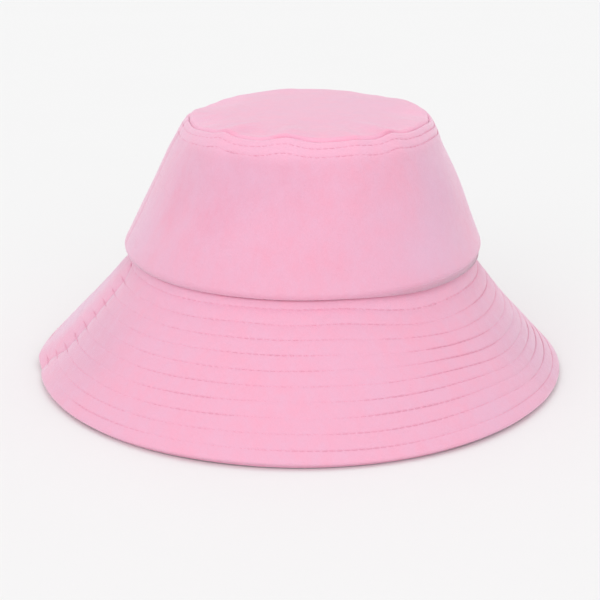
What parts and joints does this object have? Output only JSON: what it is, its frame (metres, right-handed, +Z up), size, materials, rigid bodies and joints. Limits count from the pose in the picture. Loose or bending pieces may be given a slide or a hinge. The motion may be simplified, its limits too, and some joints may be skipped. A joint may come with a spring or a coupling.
{
  "type": "bucket hat",
  "caption": "Soft velvet bucket hat with a tapered crown, an oval tip, a wide sloping stitched brim, a lining, a sweatband and a hanging care label.",
  "frame": {"origin": "centre of the hat in the plane that the brim's edge rests on", "axes": "+Z up through the crown tip; the front of the hat faces -Y; the long axis of the oval is Y; +X is the wearer's left, where the care label hangs"},
  "size_m": [0.2898, 0.3134, 0.1429],
  "materials": {
    "velvet": "cut-pile velvet, soft sheen",
    "thread": "matt sewing thread",
    "interfacing": "matt non-woven",
    "interlining": "stiff matt felt",
    "lining": "satin-weave lining",
    "sweatband": "ribbed cotton band",
    "sweatband_thread": "matt sewing thread",
    "label": "woven damask",
    "care_label": "printed-label satin, blank"
  },
  "bodies": {
    "hat": {"crown_tip_outer": "velvet", "crown_side_front_outer": "velvet", "crown_side_back_outer": "velvet", "crown_tip_interfacing": "interfacing", "crown_side_front_interfacing": "interfacing", "crown_side_back_interfacing": "interfacing", "crown_tip_lining": "lining", "crown_side_front_lining": "lining", "crown_side_back_lining": "lining", "crown_tip_stitching": "thread", "brim_upper_front": "velvet", "brim_upper_back": "velvet", "brim_interlining_front": "interlining", "brim_interlining_back": "interlining", "brim_under_front": "velvet", "brim_under_back": "velvet", "brim_stitching_upper": "thread", "brim_stitching_under": "thread", "sweatband": "sweatband", "sweatband_stitching": "sweatband_thread", "woven_label": "label", "woven_label_stitching": "sweatband_thread", "size_tab": "label", "care_label_sewn_end": "care_label"},
    "care_label": {"care_label_flap": "care_label"}
  },
  "joints": [
    {"name": "care_label_swing", "type": "hinge", "parent": "hat", "child": "care_label", "pos_m": [0.0744, 0, 0.1135], "axis": [0, 1, 0], "range_deg": [-8, 115]}
  ]
}
